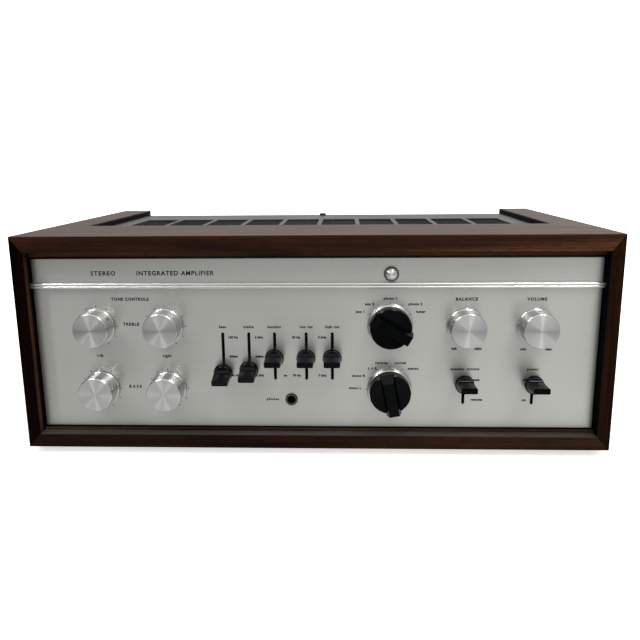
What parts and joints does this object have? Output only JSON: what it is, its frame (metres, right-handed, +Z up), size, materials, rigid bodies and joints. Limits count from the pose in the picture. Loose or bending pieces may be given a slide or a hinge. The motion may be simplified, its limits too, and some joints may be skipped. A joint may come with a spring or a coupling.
{
  "type": "integrated amplifier",
  "caption": "Valve integrated amplifier in a mitred walnut sleeve with an aluminium front panel, turned knobs, selectors and lever switches.",
  "frame": {"origin": "under the middle of the whole object, on the plane the feet stand on", "axes": "+X to the right seen from the front, along the front panel; front faces -Y; +Z up"},
  "size_m": [0.5, 0.2968, 0.1907],
  "materials": {
    "walnut": "satin lacquer",
    "panel_aluminium": "horizontally brushed",
    "polished_aluminium": "polished and turned",
    "black_plastic": "satin black",
    "shaft_steel": "plated",
    "black_steel": "satin black paint",
    "chassis_steel": "plated sheet",
    "rear_paint": "dark grey paint",
    "cover_paint": "grey-green paint",
    "nickel": "nickel plate",
    "clear_glass": "clear",
    "foot_rubber": "matt",
    "phenolic": "laminate"
  },
  "bodies": {
    "amplifier": {"ac_outlets": "black_plastic", "cabinet_bottom_board": "walnut", "cabinet_left_side": "walnut", "cabinet_right_side": "walnut", "cabinet_top_board": "walnut", "chassis": "chassis_steel", "circuit_board": "phenolic", "cord_gland": "black_plastic", "filter_capacitors": "polished_aluminium", "front_panel": "panel_aluminium", "fuse_holder": "black_plastic", "jack_board": "phenolic", "lever_switches": "shaft_steel", "output_transformers": "black_steel", "panel_bead": "polished_aluminium", "panel_fillets": "walnut", "phones_jack": "nickel", "pilot_lamp_bezel": "nickel", "pilot_lamp_jewel": "clear_glass", "potentiometers": "shaft_steel", "power_transformer": "black_steel", "power_tube_bases": "black_plastic", "power_tube_glasses": "clear_glass", "rca_jacks": "nickel", "rear_panel": "rear_paint", "rotary_switches": "shaft_steel", "rubber_feet": "foot_rubber", "screws": "black_steel", "signal_tubes": "clear_glass", "speaker_terminals": "nickel", "sub_panel": "black_steel", "terminal_strip": "black_plastic", "tube_sockets": "black_plastic", "vent_cover": "cover_paint", "vent_mesh": "black_steel"},
    "balance_control": {"balance_knob": "polished_aluminium", "balance_shaft": "shaft_steel"},
    "bass_control_left": {"bass_knob_left": "polished_aluminium", "bass_shaft_left": "shaft_steel"},
    "bass_control_right": {"bass_knob_right": "polished_aluminium", "bass_shaft_right": "shaft_steel"},
    "bass_turnover_lever_body": {"bass_turnover_lever": "black_plastic"},
    "high_cut_lever_body": {"high_cut_lever": "black_plastic"},
    "input_selector_control": {"input_selector_knob": "black_plastic", "input_selector_shaft": "shaft_steel", "input_selector_skirt": "polished_aluminium"},
    "low_cut_lever_body": {"low_cut_lever": "black_plastic"},
    "mode_selector_control": {"mode_selector_knob": "black_plastic", "mode_selector_shaft": "shaft_steel", "mode_selector_skirt": "polished_aluminium"},
    "power_lever_body": {"power_lever": "black_plastic"},
    "speaker_lever_body": {"speaker_lever": "black_plastic"},
    "tape_monitor_lever_body": {"tape_monitor_lever": "black_plastic"},
    "treble_control_left": {"treble_knob_left": "polished_aluminium", "treble_shaft_left": "shaft_steel"},
    "treble_control_right": {"treble_knob_right": "polished_aluminium", "treble_shaft_right": "shaft_steel"},
    "treble_turnover_lever_body": {"treble_turnover_lever": "black_plastic"},
    "volume_control": {"volume_knob": "polished_aluminium", "volume_shaft": "shaft_steel"}
  },
  "joints": [
    {"name": "treble_knob_left_turn", "type": "hinge", "parent": "amplifier", "child": "treble_control_left", "pos_m": [-0.1853, -0.12164, 0.1123], "axis": [0, 1, 0], "range_deg": [-210, 90]},
    {"name": "treble_knob_right_turn", "type": "hinge", "parent": "amplifier", "child": "treble_control_right", "pos_m": [-0.1268, -0.12164, 0.1123], "axis": [0, 1, 0], "range_deg": [-210, 90]},
    {"name": "bass_knob_left_turn", "type": "hinge", "parent": "amplifier", "child": "bass_control_left", "pos_m": [-0.1853, -0.12164, 0.0565], "axis": [0, 1, 0], "range_deg": [-150, 150]},
    {"name": "bass_knob_right_turn", "type": "hinge", "parent": "amplifier", "child": "bass_control_right", "pos_m": [-0.1268, -0.12164, 0.0565], "axis": [0, 1, 0], "range_deg": [-150, 150]},
    {"name": "balance_knob_turn", "type": "hinge", "parent": "amplifier", "child": "balance_control", "pos_m": [0.1272, -0.12164, 0.1123], "axis": [0, 1, 0], "range_deg": [-150, 150]},
    {"name": "volume_knob_turn", "type": "hinge", "parent": "amplifier", "child": "volume_control", "pos_m": [0.1854, -0.12164, 0.1123], "axis": [0, 1, 0], "range_deg": [-150, 150]},
    {"name": "input_selector_turn", "type": "hinge", "parent": "amplifier", "child": "input_selector_control", "pos_m": [0.0643, -0.12164, 0.1129], "axis": [0, 1, 0], "range_deg": [0, 120]},
    {"name": "mode_selector_turn", "type": "hinge", "parent": "amplifier", "child": "mode_selector_control", "pos_m": [0.0643, -0.12164, 0.0565], "axis": [0, 1, 0], "range_deg": [-79, 41]},
    {"name": "bass_turnover_lever_tilt", "type": "hinge", "parent": "amplifier", "child": "bass_turnover_lever_body", "pos_m": [-0.0777, -0.06164, 0.0858], "axis": [-1, 0, 0], "range_deg": [0, 23]},
    {"name": "treble_turnover_lever_tilt", "type": "hinge", "parent": "amplifier", "child": "treble_turnover_lever_body", "pos_m": [-0.0555, -0.06164, 0.0858], "axis": [-1, 0, 0], "range_deg": [-2.3, 20.7]},
    {"name": "tape_monitor_lever_tilt", "type": "hinge", "parent": "amplifier", "child": "tape_monitor_lever_body", "pos_m": [-0.0335, -0.06164, 0.0858], "axis": [-1, 0, 0], "range_deg": [-11.5, 11.5]},
    {"name": "low_cut_lever_tilt", "type": "hinge", "parent": "amplifier", "child": "low_cut_lever_body", "pos_m": [-0.0066, -0.06164, 0.0858], "axis": [-1, 0, 0], "range_deg": [-11.5, 11.5]},
    {"name": "high_cut_lever_tilt", "type": "hinge", "parent": "amplifier", "child": "high_cut_lever_body", "pos_m": [0.0155, -0.06164, 0.0858], "axis": [-1, 0, 0], "range_deg": [-11.5, 11.5]},
    {"name": "speaker_lever_tilt", "type": "hinge", "parent": "amplifier", "child": "speaker_lever_body", "pos_m": [0.1272, -0.06164, 0.0564], "axis": [-1, 0, 0], "range_deg": [-11.2, 0]},
    {"name": "power_lever_tilt", "type": "hinge", "parent": "amplifier", "child": "power_lever_body", "pos_m": [0.1854, -0.06164, 0.0564], "axis": [-1, 0, 0], "range_deg": [-11.2, 0]}
  ]
}
